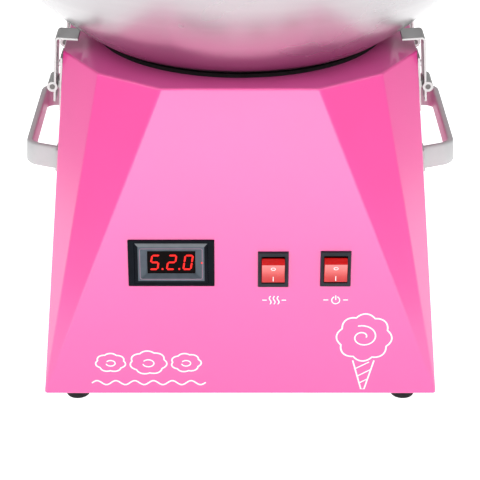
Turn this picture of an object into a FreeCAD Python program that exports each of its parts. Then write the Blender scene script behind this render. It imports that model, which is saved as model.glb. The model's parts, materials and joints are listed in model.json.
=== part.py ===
import FreeCAD, Part
import math, os
from FreeCAD import Vector as V, Placement, Rotation

# Candy floss machine.  X right, Y towards the back, Z up, millimetres.
# The origin is on the ground under the axis of the spinning head.
doc = FreeCAD.newDocument("candy_floss_machine")

# ---------------------------------------------------------------- dimensions
ss = doc.addObject("Spreadsheet::Sheet", "dims")
DIMS = [
    ("base_half", 162.0, "half width of the square foot of the housing"),
    ("foot_height", 15.0, "rubber feet"),
    ("body_height", 263.4, "housing from its lower edge to the deck"),
    ("lean_in", 18.7, "how far each wall leans in at the deck"),
    ("wall_top_half", 60.5, "half width of a wall at the deck"),
    ("ridge_half", 111.0, "ridge corner at the deck"),
    ("sheet_t", 1.5, "housing sheet"),
    ("plate_t", 1.5, "base plate"),
    ("deck_hole_r", 70.0, "opening in the deck"),
    ("foot_pos", 136.8, "foot centres from both middle planes"),
    ("foot_r_low", 10.0, "foot, lower radius"),
    ("foot_r_top", 11.5, "foot, upper radius"),
    ("bowl_rim_r", 260.0, "outer radius of the bowl over its bead"),
    ("bowl_rise", 200.0, "bowl height"),
    ("bowl_flat_r", 122.0, "flat bottom of the bowl"),
    ("gasket_t", 3.0, "rubber seat under the bowl"),
    ("bezel_w", 69.3, "meter bezel"),
    ("bezel_h", 40.6, "meter bezel"),
    ("inner_w", 52.9, "meter inner frame"),
    ("inner_h", 29.6, "meter inner frame"),
    ("window_w", 38.3, "three digit display window"),
    ("window_h", 19.3, "three digit display window"),
    ("switch_w", 24.8, "rocker switch bezel"),
    ("switch_h", 30.9, "rocker switch bezel"),
    ("rocker_w", 18.4, "rocker"),
    ("grip_len", 131.0, "carrying handle, length of the grip"),
    ("grip_high", 19.6, "carrying handle, height of the strap"),
    ("grip_t", 5.6, "carrying handle, strap thickness"),
    ("motor_r", 45.0, "motor can"),
    ("motor_len", 75.0, "motor can"),
    ("shaft_r", 5.0, "motor shaft"),
    ("head_r", 62.2, "spinning band, outer radius"),
    ("head_high", 32.0, "spinning band, height"),
    ("clip_w", 24.0, "bowl clip"),
    ("pin_r", 2.0, "clip hinge pin"),
]
for i, (a, val, note) in enumerate(DIMS, 1):
    ss.set("A%d" % i, a)
    ss.set("B%d" % i, str(val))
    ss.set("C%d" % i, note)
    ss.setAlias("B%d" % i, a)
doc.recompute()
D = {a: float(ss.get(a)) for a, _, _ in DIMS}

ZB = D["foot_height"]
ZT = ZB + D["body_height"]
LEAN = math.degrees(math.atan2(D["lean_in"], D["body_height"]))
I = Placement()
FRONT = Placement(V(0, -D["base_half"], ZB), Rotation(V(1, 0, 0), -LEAN))
BACK = Placement(V(0, 0, 0), Rotation(V(0, 0, 1), 180)).multiply(FRONT)
LEFT = Placement(V(0, 0, 0), Rotation(V(0, 0, 1), -90)).multiply(FRONT)
RIGHT = Placement(V(0, 0, 0), Rotation(V(0, 0, 1), 90)).multiply(FRONT)
# in each wall frame x runs along the wall, y goes into the machine, z up the wall

NODES = {}


def setp(o, prop, val):
    if isinstance(val, str):
        o.setExpression(prop, val)
    else:
        setattr(o, prop, val)


def box(name, p, size, fr=I, rot=None):
    o = doc.addObject("Part::Box", name)
    setp(o, "Length", size[0])
    setp(o, "Width", size[1])
    setp(o, "Height", size[2])
    o.Placement = fr.multiply(Placement(V(*p), rot or Rotation()))
    return o


def cyl(name, p, r, h, axis=(0, 0, 1), fr=I):
    o = doc.addObject("Part::Cylinder", name)
    setp(o, "Radius", r)
    setp(o, "Height", h)
    o.Placement = fr.multiply(Placement(V(*p), Rotation(V(0, 0, 1), V(*axis))))
    return o


def cone(name, p, r1, r2, h, axis=(0, 0, 1), fr=I):
    o = doc.addObject("Part::Cone", name)
    setp(o, "Radius1", r1)
    setp(o, "Radius2", r2)
    setp(o, "Height", h)
    o.Placement = fr.multiply(Placement(V(*p), Rotation(V(0, 0, 1), V(*axis))))
    return o


def group(name, objs):
    o = doc.addObject("Part::Compound", name)
    o.Links = objs
    return o


def cut(name, base, tools):
    o = doc.addObject("Part::Cut", name)
    o.Base = base
    o.Tool = tools[0] if len(tools) == 1 else group(name + "_tools", tools)
    return o


def fuse(name, objs):
    o = doc.addObject("Part::MultiFuse", name)
    o.Shapes = objs
    return o


def common(name, a, b):
    o = doc.addObject("Part::Common", name)
    o.Base = a
    o.Tool = b
    return o


def node(name, o):
    o.Label = name
    NODES[name] = o
    return o


def outline(pts, radii):
    """Closed outline of lines and arcs through pts, corner i rounded by radii[i]."""
    n = len(pts)
    P = [V(x, y, 0) for x, y in pts]
    ends, geo = [], []
    for i in range(n):
        r = radii[i] if i < len(radii) else 0
        a, b, c = P[i - 1], P[i], P[(i + 1) % n]
        if r <= 0:
            ends.append((b, b, None))
            continue
        u, w = (a - b).normalize(), (c - b).normalize()
        half = u.getAngle(w) / 2
        d = r / math.tan(half)
        m = (u + w).normalize()
        mid = b + m * (r / math.sin(half) - r)
        ends.append((b + u * d, b + w * d, mid))
    for i in range(n):
        s, e, mid = ends[i]
        if mid is not None:
            geo.append(Part.Arc(s, mid, e))
        nxt = ends[(i + 1) % n][0]
        if (nxt - e).Length > 1e-6:
            geo.append(Part.LineSegment(e, nxt))
    return geo


def turned(name, pts, radii=(), ):
    """PartDesign body: a profile of (radius, z) points turned about Z."""
    body = doc.addObject("PartDesign::Body", name)
    sk = body.newObject("Sketcher::SketchObject", name + "_profile")
    pl = [f for f in body.Origin.OriginFeatures if f.Role == "XZ_Plane"][0]
    sk.AttachmentSupport = [(pl, "")]
    sk.MapMode = "FlatFace"
    sk.addGeometry(outline(pts, list(radii) + [0] * (len(pts) - len(radii))), False)
    rev = body.newObject("PartDesign::Revolution", name + "_turn")
    rev.Profile = sk
    rev.ReferenceAxis = (sk, ["V_Axis"])
    rev.Angle = 360.0
    body.Tip = rev
    return body


def slab(name, pts, length, radii=(), fr=I):
    """PartDesign body: a closed outline in its own XY plane, padded along Z."""
    body = doc.addObject("PartDesign::Body", name)
    sk = body.newObject("Sketcher::SketchObject", name + "_outline")
    pl = [f for f in body.Origin.OriginFeatures if f.Role == "XY_Plane"][0]
    sk.AttachmentSupport = [(pl, "")]
    sk.MapMode = "FlatFace"
    sk.addGeometry(outline(pts, list(radii) + [0] * (len(pts) - len(radii))), False)
    pad = body.newObject("PartDesign::Pad", name + "_pad")
    pad.Profile = sk
    setp(pad, "Length", length)
    body.Tip = pad
    body.Placement = fr
    return body


# outlines drawn in the Y-Z plane of a wall frame are padded along the wall (x)
def side_frame(fr, x, y, z):
    m = FreeCAD.Matrix(0, 0, 1, x, 1, 0, 0, y, 0, 1, 0, z, 0, 0, 0, 1)
    return fr.multiply(Placement(m))


# ------------------------------------------------------------------- housing
def convex(planes):
    """Solid bounded by planes given as (normal, offset), inside where n.x <= d."""
    pts = []
    k = len(planes)
    for a in range(k):
        for b in range(a + 1, k):
            for c in range(b + 1, k):
                n1, n2, n3 = planes[a][0], planes[b][0], planes[c][0]
                det = n1.dot(n2.cross(n3))
                if abs(det) < 1e-6:
                    continue
                p = (n2.cross(n3) * planes[a][1] + n3.cross(n1) * planes[b][1]
                     + n1.cross(n2) * planes[c][1]) * (1.0 / det)
                if all(n.dot(p) <= d + 1e-5 for n, d in planes):
                    if all((p - q).Length > 1e-3 for q in pts):
                        pts.append(p)
    faces = []
    for n, d in planes:
        on = [p for p in pts if abs(n.dot(p) - d) < 1e-3]
        if len(on) < 3:
            continue
        c = V(0, 0, 0)
        for p in on:
            c += p
        c *= 1.0 / len(on)
        u = (on[0] - c).normalize()
        w = n.cross(u)
        on.sort(key=lambda p: math.atan2((p - c).dot(w), (p - c).dot(u)))
        faces.append(Part.Face(Part.makePolygon(on + [on[0]])))
    return Part.makeSolid(Part.makeShell(faces))


def body_planes(inset, z_low):
    w, x2, b = D["base_half"], D["wall_top_half"], D["ridge_half"]
    t = w - D["lean_in"]
    C, P2, P3, P4 = V(-w, -w, ZB), V(-x2, -t, ZT), V(-b, -b, ZT), V(-t, -x2, ZT)
    out = [(V(0, 0, -1), -z_low), (V(0, 0, 1), ZT - inset)]
    base = [(V(w, -w, ZB), C, P2), (C, P2, P3), (C, P3, P4)]
    for p, q, r in base:
        n = (q - p).cross(r - p).normalize()
        if n.dot(V(0, 0, 150) - p) > 0:
            n = n * -1
        for turn in range(4):
            nn = Rotation(V(0, 0, 1), 90 * turn).multVec(n)
            out.append((nn, n.dot(p) - inset))
    return out


outer = doc.addObject("Part::Feature", "housing_outer")
outer.Shape = convex(body_planes(0, ZB))
inner = doc.addObject("Part::Feature", "housing_inner")
inner.Shape = convex(body_planes(D["sheet_t"], ZB - 2))

flange_frame = cut("flange_frame", box("flange_out", (-165, -165, ZB + 1.6), (330, 330, "dims.sheet_t")),
                   [box("flange_in", (-147, -147, ZB), (294, 294, 6))])
flange = common("inner_flange", flange_frame, inner)

MX, MZ = -55.05, 118.7          # meter centre on the front wall
SW = {"heat": (26.4, 113.2), "power": (76.3, 113.7)}
IX, IZ = 78.0, 48.0             # mains inlet centre on the back wall
HZ = 173.0                      # handle height up the side wall
openings = [cyl("deck_opening", (0, 0, ZT - 10), "dims.deck_hole_r", 20)]
openings.append(box("meter_opening", (MX - 31.6, -3, MZ - 18.1), (63.2, 8, 36.2), FRONT))
for k, (sx, sz) in SW.items():
    openings.append(box(k + "_opening", (sx - 10.9, -3, sz - 14.1), (21.8, 8, 28.2), FRONT))
openings.append(box("inlet_opening", (IX - 13.9, -3, IZ - 10.1), (27.8, 8, 20.2), BACK))
for s in (-1, 1):
    openings.append(cyl("inlet_screw_hole%d" % s, (IX + 20 * s, -3, IZ), 1.75, 8, (0, 1, 0), BACK))
for i in range(7):              # ventilation slots in the back wall
    openings.append(box("vent%d" % i, (-90, -3, 60 + 14 * i), (110, 8, 4.5), BACK))
for nm, fr in (("l", LEFT), ("r", RIGHT)):
    for s in (-1, 1):
        openings.append(cyl("handle_hole_%s%d" % (nm, s), (69.0 * s, -3, HZ), 2.6, 8, (0, 1, 0), fr))
for nm, fr in (("l", LEFT), ("r", RIGHT)):
    for rx in (-58, -46, 46, 58):
        openings.append(cyl("rivet_hole_%s%d" % (nm, rx), (rx, -3, 252.5), 1.6, 8, (0, 1, 0), fr))
for a in (-60, 60):
    for sx, sy in ((153.5, a), (-153.5, a), (a, 153.5), (a, -153.5)):
        openings.append(cyl("flange_hole", (sx, sy, ZB + 1), 1.7, 4))
for a in range(6):
    c = math.radians(60 * a + 30)
    openings.append(cyl("collar_hole%d" % a, (84 * math.cos(c), 84 * math.sin(c), ZT - 6), 1.7, 12))
housing_sheet = cut("housing_sheet", outer, [inner])
housing = cut("housing_shell", fuse("housing_whole", [housing_sheet, flange]), openings)
node("housing_shell", housing)

# base plate with ventilation slots, held by eight screws
plate_cuts = []
for a in (-60, 60):
    for sx, sy in ((153.5, a), (-153.5, a), (a, 153.5), (a, -153.5)):
        plate_cuts.append(cyl("plate_hole", (sx, sy, ZB - 2), 1.7, 6))
for sx in (-1, 1):
    for sy in (-1, 1):
        plate_cuts.append(cyl("plate_foot_hole", (136.8 * sx, 136.8 * sy, ZB - 2), 2.2, 6))
for i in range(9):
    plate_cuts.append(box("plate_slot%d" % i, (-45, -44 + 10.5 * i, ZB - 2), (90, 4.5, 6)))
node("base_plate", cut("base_plate", box("plate_blank", (-159, -159, ZB), (318, 318, "dims.plate_t")), plate_cuts))
scr = []
for a in (-60, 60):
    for sx, sy in ((153.5, a), (-153.5, a), (a, 153.5), (a, -153.5)):
        scr.append(fuse("base_screw", [cyl("bs_head", (sx, sy, ZB - 1.9), 3.4, 1.9), cyl("bs_shank", (sx, sy, ZB - 0.1), 1.5, 6)]))
node("base_screws", group("base_screws", scr))

# rubber feet and their screws
feet, fscr = [], []
for sx in (-1, 1):
    for sy in (-1, 1):
        x, y = 136.8 * sx, 136.8 * sy
        f = cone("foot_cone", (x, y, 0), "dims.foot_r_low", "dims.foot_r_top", "dims.foot_height")
        feet.append(cut("foot", f, [cyl("foot_recess", (x, y, -1), 5.2, 7), cyl("foot_bore", (x, y, 0), 2.2, 20)]))
        fscr.append(fuse("foot_screw", [cyl("fs_head", (x, y, 3.4), 4.4, 2.6), cyl("fs_shank", (x, y, 5), 1.9, 16)]))
node("feet", group("feet", feet))
node("foot_screws", group("foot_screws", fscr))

# --------------------------------------------------------- bowl seat and bowl
collar = turned("hub_collar_turn", [(72, ZT), (88, ZT), (88, ZT + 2.7), (76, ZT + 2.7), (76, ZT + 16), (72, ZT + 16)], [0, 0.8, 0, 0, 1.2, 1.2])
ch = []
for a in range(6):
    c = math.radians(60 * a + 30)
    ch.append(cyl("collar_bore", (82 * math.cos(c) + 2 * math.cos(c), 84 * math.sin(c), ZT - 1), 1.7, 5))
    ch.append(cone("collar_sink", (84 * math.cos(c), 84 * math.sin(c), ZT + 0.9), 1.7, 3.5, 1.81))
node("hub_collar", cut("hub_collar", collar, ch))
cs = []
for a in range(6):
    c = math.radians(60 * a + 30)
    x, y = 84 * math.cos(c), 84 * math.sin(c)
    cs.append(fuse("collar_screw", [cone("cs_head", (x, y, ZT + 1.0), 1.5, 3.1, 1.6), cyl("cs_shank", (x, y, ZT - 8), 1.5, 9.1)]))
node("collar_screws", group("collar_screws", cs))
gk = cut("seat_gasket", cyl("gasket_out", (0, 0, ZT), 121, "dims.gasket_t"), [cyl("gasket_in", (0, 0, ZT - 1), 92, 10)])
node("seat_gasket", gk)

zb = ZT + D["gasket_t"]         # underside of the bowl
zr = zb + D["bowl_rise"]
t = 1.1
outer_pts = [(79, zb), (D["bowl_flat_r"], zb), (168, zb + 34), (216, zb + 92), (248, zb + 152), (255, zr - 3)]
inner_pts = [(253.9, zr - 3), (246.9, zb + 152.3), (215.0, zb + 92.7), (167.3, zb + 35.0), (121.6, zb + t), (80.1, zb + t), (80.1, zb + 11), (79, zb + 11)]
bowl_sheet = turned("bowl_sheet", outer_pts + inner_pts, [2, 22, 60, 160, 200, 0, 0, 200, 160, 59, 21, 0.9, 0, 0])
bead = doc.addObject("Part::Torus", "bowl_bead")
bead.Radius1 = 257.0
bead.Radius2 = 3.0
bead.Placement = Placement(V(0, 0, zr - 3), Rotation())
node("bowl", fuse("bowl", [bowl_sheet, bead]))

# --------------------------------------------------------------- panel meter
def frustum(name, w0, h0, w1, h1, depth, fr):
    """Raised rectangular block, w0 x h0 at the wall, w1 x h1 at its face."""
    o = doc.addObject("Part::Wedge", name)
    o.Xmin, o.Xmax, o.Zmin, o.Zmax = -w0 / 2, w0 / 2, -h0 / 2, h0 / 2
    o.X2min, o.X2max, o.Z2min, o.Z2max = -w1 / 2, w1 / 2, -h1 / 2, h1 / 2
    o.Ymin, o.Ymax = 0, depth
    # the wedge grows along +y, so it is turned to grow out of the wall
    o.Placement = fr.multiply(Placement(V(0, 0, 0), Rotation(V(0, 0, 1), 180)))
    return o


MF = FRONT.multiply(Placement(V(MX, 0, MZ), Rotation()))
IW, IH = D["inner_w"], D["inner_h"]
WDEEP = 1.1                     # the window's face lies this far behind the wall face
bez = cut("meter_bezel", frustum("bezel_block", D["bezel_w"], D["bezel_h"], D["bezel_w"] - 0.9, D["bezel_h"] - 0.9, 1.5, MF),
          [box("bezel_hole", (-IW / 2 - 2.85, -8, -IH / 2 - 2.85), (IW + 5.7, 12, IH + 5.7), MF)])
node("meter_bezel", bez)
# raised frame with mitred flanks, dished down to the window
inn = cut("meter_inner_frame",
          fuse("inner_block", [frustum("inner_flanks", IW + 5.3, IH + 5.3, IW, IH, 0.8, MF.multiply(Placement(V(0, -1.5, 0), Rotation()))),
                               box("inner_base", (-IW / 2 - 2.65, -1.51, -IH / 2 - 2.65), (IW + 5.3, 1.51, IH + 5.3), MF),
                               box("inner_well", (-D["window_w"] / 2 - 2.2, -0.01, -D["window_h"] / 2 - 2.2), (D["window_w"] + 4.4, 4.61, D["window_h"] + 4.4), MF)]),
          [frustum("inner_dish", D["window_w"] + 0.8, D["window_h"] + 0.8, IW - 4.0, IH - 4.0, 3.41, MF.multiply(Placement(V(0, WDEEP, 0), Rotation()))),
           box("inner_hole", (-D["window_w"] / 2 - 0.15, -8, -D["window_h"] / 2 - 0.15), (D["window_w"] + 0.3, 16, D["window_h"] + 0.3), MF)])
node("meter_inner_frame", inn)
node("meter_window", box("meter_window", (-D["window_w"] / 2, WDEEP, -D["window_h"] / 2), ("dims.window_w", 3.5, "dims.window_h"), MF))
mb = cut("meter_body", box("meter_body_block", (-31.2, 0.02, -17.7), (62.4, 32, 35.4), MF),
         [box("meter_body_pocket", (-D["window_w"] / 2 - 2.3, -1, -D["window_h"] / 2 - 2.3), (D["window_w"] + 4.6, 5.62, D["window_h"] + 4.6), MF)])
node("meter_body", mb)

SEG = {"a": (0, 1, 0), "b": (1, 1, 1), "c": (1, 0, 1), "d": (0, 0, 0), "e": (0, 0, 1), "f": (0, 1, 1), "g": (0, .5, 0)}
DW, DH, ST = 7.4, 13.4, 1.4     # digit width, height and stroke
segs = []


def stroke(x0, z0, x1, z1, dx):
    """One segment of a digit, leaning like the display does."""
    lean = 0.16
    def q(x, z):
        return (dx + x + lean * z, z)
    if abs(x1 - x0) > abs(z1 - z0):
        p = [q(x0 + ST * .6, z0 - ST / 2), q(x1 - ST * .6, z0 - ST / 2), q(x1 - ST * .15, z0), q(x1 - ST * .6, z0 + ST / 2), q(x0 + ST * .6, z0 + ST / 2), q(x0 + ST * .15, z0)]
    else:
        p = [q(x0 - ST / 2, z0 + ST * .6), q(x0, z0 + ST * .15), q(x0 + ST / 2, z0 + ST * .6), q(x0 + ST / 2, z1 - ST * .6), q(x0, z1 - ST * .15), q(x0 - ST / 2, z1 - ST * .6)]
    s = slab("segment", [(a, b) for a, b in p], 0.12,
             fr=MF.multiply(Placement(V(0, WDEEP - 0.02, 0), Rotation(V(1, 0, 0), 90))))
    segs.append(s)


def digit(which, cx):
    w, h = (DW - ST) / 2, (DH - ST) / 2
    lines = {"a": (-w, h, w, h), "g": (-w, 0, w, 0), "d": (-w, -h, w, -h),
             "b": (w, 0, w, h), "c": (w, -h, w, 0), "e": (-w, -h, -w, 0), "f": (-w, 0, -w, h)}
    for c in which:
        stroke(*lines[c], cx)


digit("acdfg", -13.15)
digit("abdeg", 0.3)
digit("abcdef", 13.45)
for dx in (-7.1, 6.3):
    segs.append(cyl("point", (dx, WDEEP - 0.02, -5.8), 0.8, 0.12, (0, -1, 0), MF))
node("meter_digits", group("meter_digits", segs))

# ----------------------------------------------------------- rocker switches
RA = 11.0                       # the rocker leans this far to each side
PIV = 5.0                       # pivot depth behind the wall face
rocker_pts = [(-4.7, 0), (-5.3, 8.3), (0.6, 10.95), (8.0, 7.0), (8.0, -7.0), (0.6, -10.95), (-5.3, -8.3)]
for k, (sx, sz) in SW.items():
    SF = FRONT.multiply(Placement(V(sx, 0, sz), Rotation()))
    rim = frustum(k + "_rim", D["switch_w"], D["switch_h"], D["switch_w"] - 1.4, D["switch_h"] - 1.4, 2.2, SF)
    tub = box(k + "_tub", (-10.6, -0.01, -13.9), (21.2, 22, 27.8), SF)
    hole = box(k + "_hole", (-9.45, -5, -11.7), (18.9, 12, 23.4), SF)
    room = box(k + "_room", (-9.45, 0.6, -13.0), (18.9, 16, 26.0), SF)
    eye = cyl(k + "_eye", (-12, PIV, 0), 1.65, 24, (1, 0, 0), SF)
    node(k + "_switch_body", cut(k + "_switch_body", fuse(k + "_frame", [rim, tub]), [hole, room, eye]))
    rk = slab(k + "_rocker_pad", rocker_pts, "dims.rocker_w", [0.6, 0.5, 0.5, 1, 1, 0.5, 0.5],
              fr=side_frame(SF, 0, 0, 0))
    # lean the rocker about its pivot so that its lower end is pressed in
    lean = Placement(V(0, 0, 0), Rotation(V(1, 0, 0), RA))
    piv = Placement(V(0, PIV, 0), Rotation())
    rk.Placement = SF.multiply(piv).multiply(lean).multiply(piv.inverse()).multiply(
        side_frame(I, -D["rocker_w"] / 2, 0, 0))
    axle = cyl(k + "_axle", (-10.4, PIV, 0), 1.6, 20.8, (1, 0, 0), SF)
    node(k + "_rocker", fuse(k + "_rocker_whole", [rk, axle]))
tm = []
for k, (sx, sz) in SW.items():
    for a in (-1, 1):
        for b in (-1, 0, 1):
            tm.append(box("blade", (sx + 6 * a - 0.4, 21.99, sz + 8 * b - 2.4), (0.8, 9, 4.8), FRONT))
node("switch_terminals", group("switch_terminals", tm))

# ----------------------------------------------------------- carrying handles
def handle(name, fr):
    """Flat strap bent into a U, standing out of the side wall, with two feet."""
    g = D["grip_len"] / 2
    tt = D["grip_t"]
    o = [(-g - 6.5, 0), (-g, -29.0), (g, -29.0), (g + 6.5, 0), (g + 6.5 - tt, 0), (g - tt + 0.2, -29.0 + tt), (-g + tt - 0.2, -29.0 + tt), (-g - 6.5 + tt, 0)]
    strap = slab(name + "_strap", o, "dims.grip_high", [0, 14, 14, 0, 0, 8.4, 8.4, 0],
                 fr=fr.multiply(Placement(V(0, 0, HZ - D["grip_high"] / 2), Rotation())))
    parts = [strap]
    for s in (-1, 1):
        parts.append(box(name + "_foot", (s * 69.0 - 8, -3, HZ - D["grip_high"] / 2), (16, 3, "dims.grip_high"), fr))
    whole = fuse(name + "_cast", parts)
    holes = [cyl(name + "_thread", (69.0 * s, -6, HZ), 2.1, 9, (0, 1, 0), fr) for s in (-1, 1)]
    return cut(name, whole, holes)


node("handle_left", handle("handle_left", LEFT))
node("handle_right", handle("handle_right", RIGHT))
hs = []
for fr in (LEFT, RIGHT):
    for s in (-1, 1):
        hs.append(fuse("handle_screw", [cyl("hs_head", (69.0 * s, 1.55, HZ), 4.5, 3.0, (0, 1, 0), fr),
                                        cyl("hs_shank", (69.0 * s, -4.5, HZ), 2.0, 6.2, (0, 1, 0), fr)]))
node("handle_screws", group("handle_screws", hs))

# ------------------------------------------------------------------ bowl clips
# each clip is a bent plate on a short hinge at the top of a side wall; its upper
# end bears on the bowl's flank and its lower end is the finger tab
PZ = 233.2                      # hinge height up the wall
PY = -7.7                       # hinge axis in front of the wall
bases, pins, rivets = [], [], []
CW = D["clip_w"]
for nm, fr, sgn in (("front_left", LEFT, 1), ("back_left", LEFT, -1), ("front_right", RIGHT, -1), ("back_right", RIGHT, 1)):
    # x along the wall of the outer end of the clip; sgn turns it towards the middle
    x_out = 64.0 * sgn
    x_in = x_out - CW * sgn
    xa, xb = min(x_out, x_in), max(x_out, x_in)
    cx = (xa + xb) / 2
    bp = box("clip_plate_" + nm, (xa, -1.8, 212.5), (CW, 1.8, 46), fr)
    knuckle = cyl("base_knuckle_" + nm, (cx - 4.9, PY, PZ), 4.4, 9.8, (1, 0, 0), fr)
    web = box("base_web_" + nm, (cx - 4.9, PY + 2, PZ - 3), (9.8, -PY - 2 - 0.1, 6), fr)
    base = cut("clip_base_" + nm, fuse("clip_base_whole_" + nm, [bp, knuckle, web]),
               [cyl("base_bore_" + nm, (cx - 8, PY, PZ), 2.0, 16, (1, 0, 0), fr),
                cyl("rivet_bore_a" + nm, (cx - 6, -3, 252.5), 1.6, 6, (0, 1, 0), fr),
                cyl("rivet_bore_b" + nm, (cx + 6, -3, 252.5), 1.6, 6, (0, 1, 0), fr)])
    bases.append(base)
    pins.append(cyl("clip_pin_" + nm, (xa - 0.2, PY, PZ), "dims.pin_r", CW + 0.4, (1, 0, 0), fr))
    for s in (-6, 6):
        rivets.append(fuse("rivet", [cyl("rivet_head", (cx + s, -2.9, 252.5), 2.6, 1.1, (0, 1, 0), fr),
                                     cyl("rivet_body", (cx + s, -2.0, 252.5), 1.5, 5.0, (0, 1, 0), fr)]))
    # the bent plate, drawn in the y-z plane of the wall frame
    prof = [(-4.7, 220.6), (-6.6, 220.6), (-6.6, 276.2), (12.4, 276.2), (12.4, 274.3), (-4.7, 274.3)]
    plate = slab("clip_blade_" + nm, prof, CW, [0.6, 0.6, 3.4, 0.6, 0.6, 1.5], fr=side_frame(fr, xa, 0, 0))
    k1 = cyl("clip_knuckle_a" + nm, (xa, PY, PZ), 4.4, 6.8, (1, 0, 0), fr)
    k2 = cyl("clip_knuckle_b" + nm, (xb - 6.8, PY, PZ), 4.4, 6.8, (1, 0, 0), fr)
    clip = cut("clip_" + nm, fuse("clip_whole_" + nm, [plate, k1, k2]),
               [box("clip_notch_" + nm, (cx - 5.2, -14, PZ - 5.6), (10.4, 14, 11.2), fr),
                cyl("clip_bore_" + nm, (xa - 1, PY, PZ), 2.05, CW + 2, (1, 0, 0), fr)])
    node("clip_" + nm, clip)
node("clip_bases", group("clip_bases", bases))
node("clip_pins", group("clip_pins", pins))
node("clip_rivets", group("clip_rivets", rivets))

# ------------------------------------------------------------------ the motor
Z0 = 150.0
mr = D["motor_r"]
can = cut("motor_can", cyl("can_out", (0, 0, Z0), "dims.motor_r", "dims.motor_len"), [cyl("can_in", (0, 0, Z0 - 1), mr - 2, 90)])
node("motor_can", can)
caps = []
for nm, z in (("low", Z0 - 5), ("top", Z0 + 75)):
    c = cyl("cap_" + nm, (0, 0, z), mr, 5)
    v = [cyl("cap_bore_" + nm, (0, 0, z - 1), 13, 8)]
    for a in range(6):
        q = math.radians(60 * a)
        v.append(cyl("cap_vent", (29 * math.cos(q), 29 * math.sin(q), z - 1), 5, 8))
    caps.append(cut("motor_cap_" + nm, c, v))
node("motor_caps", group("motor_caps", caps))
bear = []
for z in (Z0 - 5, Z0 + 75):
    bear.append(cut("bearing", cyl("bearing_out", (0, 0, z), 13, 7), [cyl("bearing_in", (0, 0, z - 1), 5.04, 9)]))
node("motor_bearings", group("motor_bearings", bear))
pl_cuts = [cyl("mp_bore", (0, 0, Z0 + 79), 14.0, 8)]
for a in range(4):
    x, y = 58 * (1 if a % 2 else -1) * 1.5, 40 * (1 if a // 2 else -1) * 1.5
    pl_cuts.append(cyl("mp_hole", (x, y, Z0 + 79), 6.0, 8))
node("motor_plate", cut("motor_plate", box("mp_blank", (-100, -72, Z0 + 80), (200, 144, 3)), pl_cuts))
st, gr = [], []
for a in range(4):
    x, y = 58 * (1 if a % 2 else -1) * 1.5, 40 * (1 if a // 2 else -1) * 1.5
    st.append(fuse("stud", [cyl("stud_low", (x, y, Z0 + 74), 2.1, ZT - 1.5 - Z0 - 74), cyl("stud_spacer", (x, y, Z0 + 86.2), 5.0, ZT - 1.5 - Z0 - 86.2),
                            cyl("stud_nut", (x, y, Z0 + 73.5), 4.6, 3.2)]))
    g = fuse("grommet_whole", [cyl("gr_a", (x, y, Z0 + 76.8), 9, 3.2), cyl("gr_b", (x, y, Z0 + 79.9), 5.9, 3.2), cyl("gr_c", (x, y, Z0 + 83), 9, 3.2)])
    gr.append(cut("grommet", g, [cyl("gr_bore", (x, y, Z0 + 70), 2.15, 30)]))
node("plate_studs", group("plate_studs", st))
node("plate_grommets", group("plate_grommets", gr))

# slip rings and brushes feed the heater in the head
node("slip_ring_core", cut("slip_ring_core", cyl("core_out", (0, 0, 237), 16, 26), [cyl("core_in", (0, 0, 230), 5.0, 40)]))
rings = []
for z in (240.0, 251.0):
    rings.append(cut("slip_ring", cyl("ring_out", (0, 0, z), 19, 6), [cyl("ring_in", (0, 0, z - 1), 16, 9)]))
node("slip_rings", group("slip_rings", rings))
hold = box("holder_block", (-9, 22.5, 233), (18, 30, 31))
node("brush_holder", cut("brush_holder", hold, [box("ch_low", (-2.8, 20, 240.2), (5.6, 29, 5.6)), box("ch_top", (-2.8, 20, 251.2), (5.6, 29, 5.6))]))
node("brush_lower", box("brush_lower", (-2.5, 19.4, 240.5), (5, 18, 5)))
node("brush_upper", box("brush_upper", (-2.5, 19.4, 251.5), (5, 18, 5)))

# ---------------------------------------------------------- the rotating parts
node("motor_shaft", turned("motor_shaft", [(0, 120), (4.4, 120), (5.0, 120.6), (5.0, 304.5), (4.0, 305), (4.0, 316), (0, 316)]))
node("armature", cut("armature", cyl("arm_out", (0, 0, Z0 + 8), 38, 58), [cyl("arm_in", (0, 0, Z0), 5.0, 80)] +
     [box("arm_slot", (36 * math.cos(math.radians(30 * a)) - 1.2, 36 * math.sin(math.radians(30 * a)) - 1.2, Z0), (2.4, 2.4, 80)) for a in range(12)]))
fan = [cut("fan_hub", cyl("fan_hub_out", (0, 0, 124), 14, 14), [cyl("fan_hub_in", (0, 0, 120), 5.0, 30)])]
for a in range(7):
    bl = box("blade_fan", (12, -1.0, 125), (38, 2.0, 12), Placement(V(0, 0, 0), Rotation(V(0, 0, 1), 360.0 / 7 * a)), Rotation(V(1, 0, 0), 0))
    fan.append(bl)
node("cooling_fan", cut("cooling_fan", fuse("fan_whole", fan), [cyl("fan_bore", (0, 0, 118), 5.0, 30)]))

HB = 300.0                      # underside of the head
node("head_base", turned("head_base", [(5.0, HB - 10), (14, HB - 10), (14, HB), (60, HB), (64.5, HB + 2), (64.5, HB + 3.4), (5.0, HB + 3.4)], [0, 1, 2, 3, 0.8, 0, 0]))
hh = D["head_high"]
band = cut("band_ring", cyl("band_out", (0, 0, HB + 3.4), "dims.head_r", "dims.head_high"), [cyl("band_in", (0, 0, HB), 61.0, 60)])
slots = []
for a in range(36):
    slots.append(box("slot", (58, -1.1, HB + 8.4), (8, 2.2, 22), Placement(V(0, 0, 0), Rotation(V(0, 0, 1), 10 * a))))
node("mesh_band", cut("mesh_band", band, slots))
node("heater_ribbon", cut("heater_ribbon", cyl("ribbon_out", (0, 0, HB + 9), 57.4, 20), [cyl("ribbon_in", (0, 0, HB + 8), 56.6, 24)]))
posts = []
for a in range(6):
    q = math.radians(60 * a)
    posts.append(cyl("post", (53.2 * math.cos(q), 53.2 * math.sin(q), HB + 3.4), 3.0, "dims.head_high"))
node("heater_posts", group("heater_posts", posts))
zc = HB + 3.4 + hh
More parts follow.
